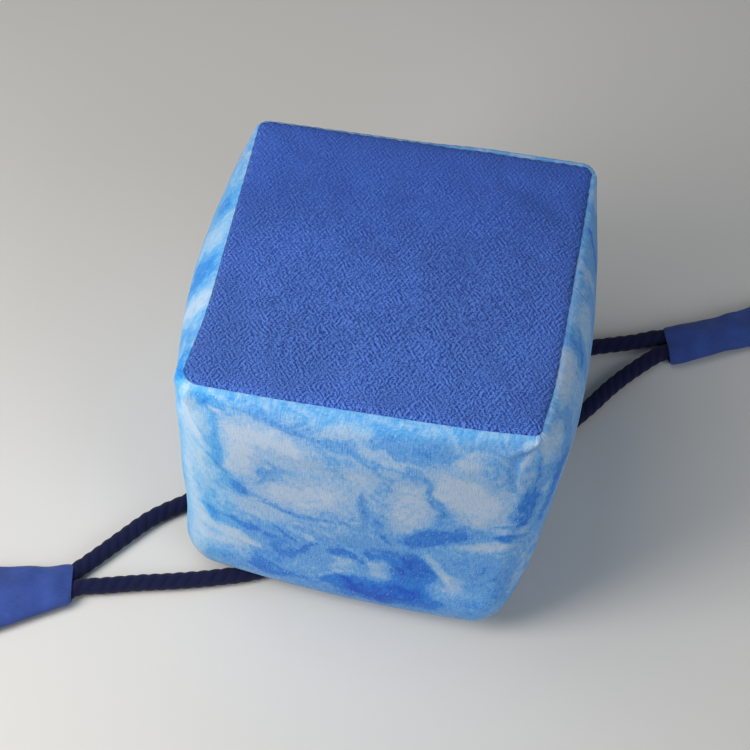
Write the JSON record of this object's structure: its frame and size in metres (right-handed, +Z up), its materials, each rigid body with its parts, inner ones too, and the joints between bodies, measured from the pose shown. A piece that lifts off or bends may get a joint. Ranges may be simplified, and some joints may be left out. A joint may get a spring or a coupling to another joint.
{
  "type": "teaware storage bag",
  "caption": "Padded cube-shaped drawstring pouch for teaware: plain crepe base panel, tie-dyed wall band, twisted drawcords with cloth tabs.",
  "frame": {"origin": "middle of the bag's own box, without its cords and tabs, on the surface the bag stands on", "axes": "+Z up from the drawn mouth to the base panel, -Y out of the front wall, +X out of the right wall, towards the right tab"},
  "size_m": [0.2525, 0.1756, 0.098],
  "materials": {
    "crepe_cloth": "finely crinkled plain blue cotton crepe, matt",
    "tie_dyed_cotton": "plain-weave cotton, white and sky blue tie-dye marbling, matt",
    "twisted_cord": "twisted navy cotton cord, matt",
    "tab_cloth": "plain blue cotton cloth, matt"
  },
  "bodies": {
    "root": {"base_panel": "crepe_cloth", "wall_band": "tie_dyed_cotton", "cord_left_back": "twisted_cord", "cord_left_front": "twisted_cord", "cord_right_back": "twisted_cord", "cord_right_front": "twisted_cord", "tab_left": "tab_cloth", "tab_right": "tab_cloth"}
  },
  "joints": []
}
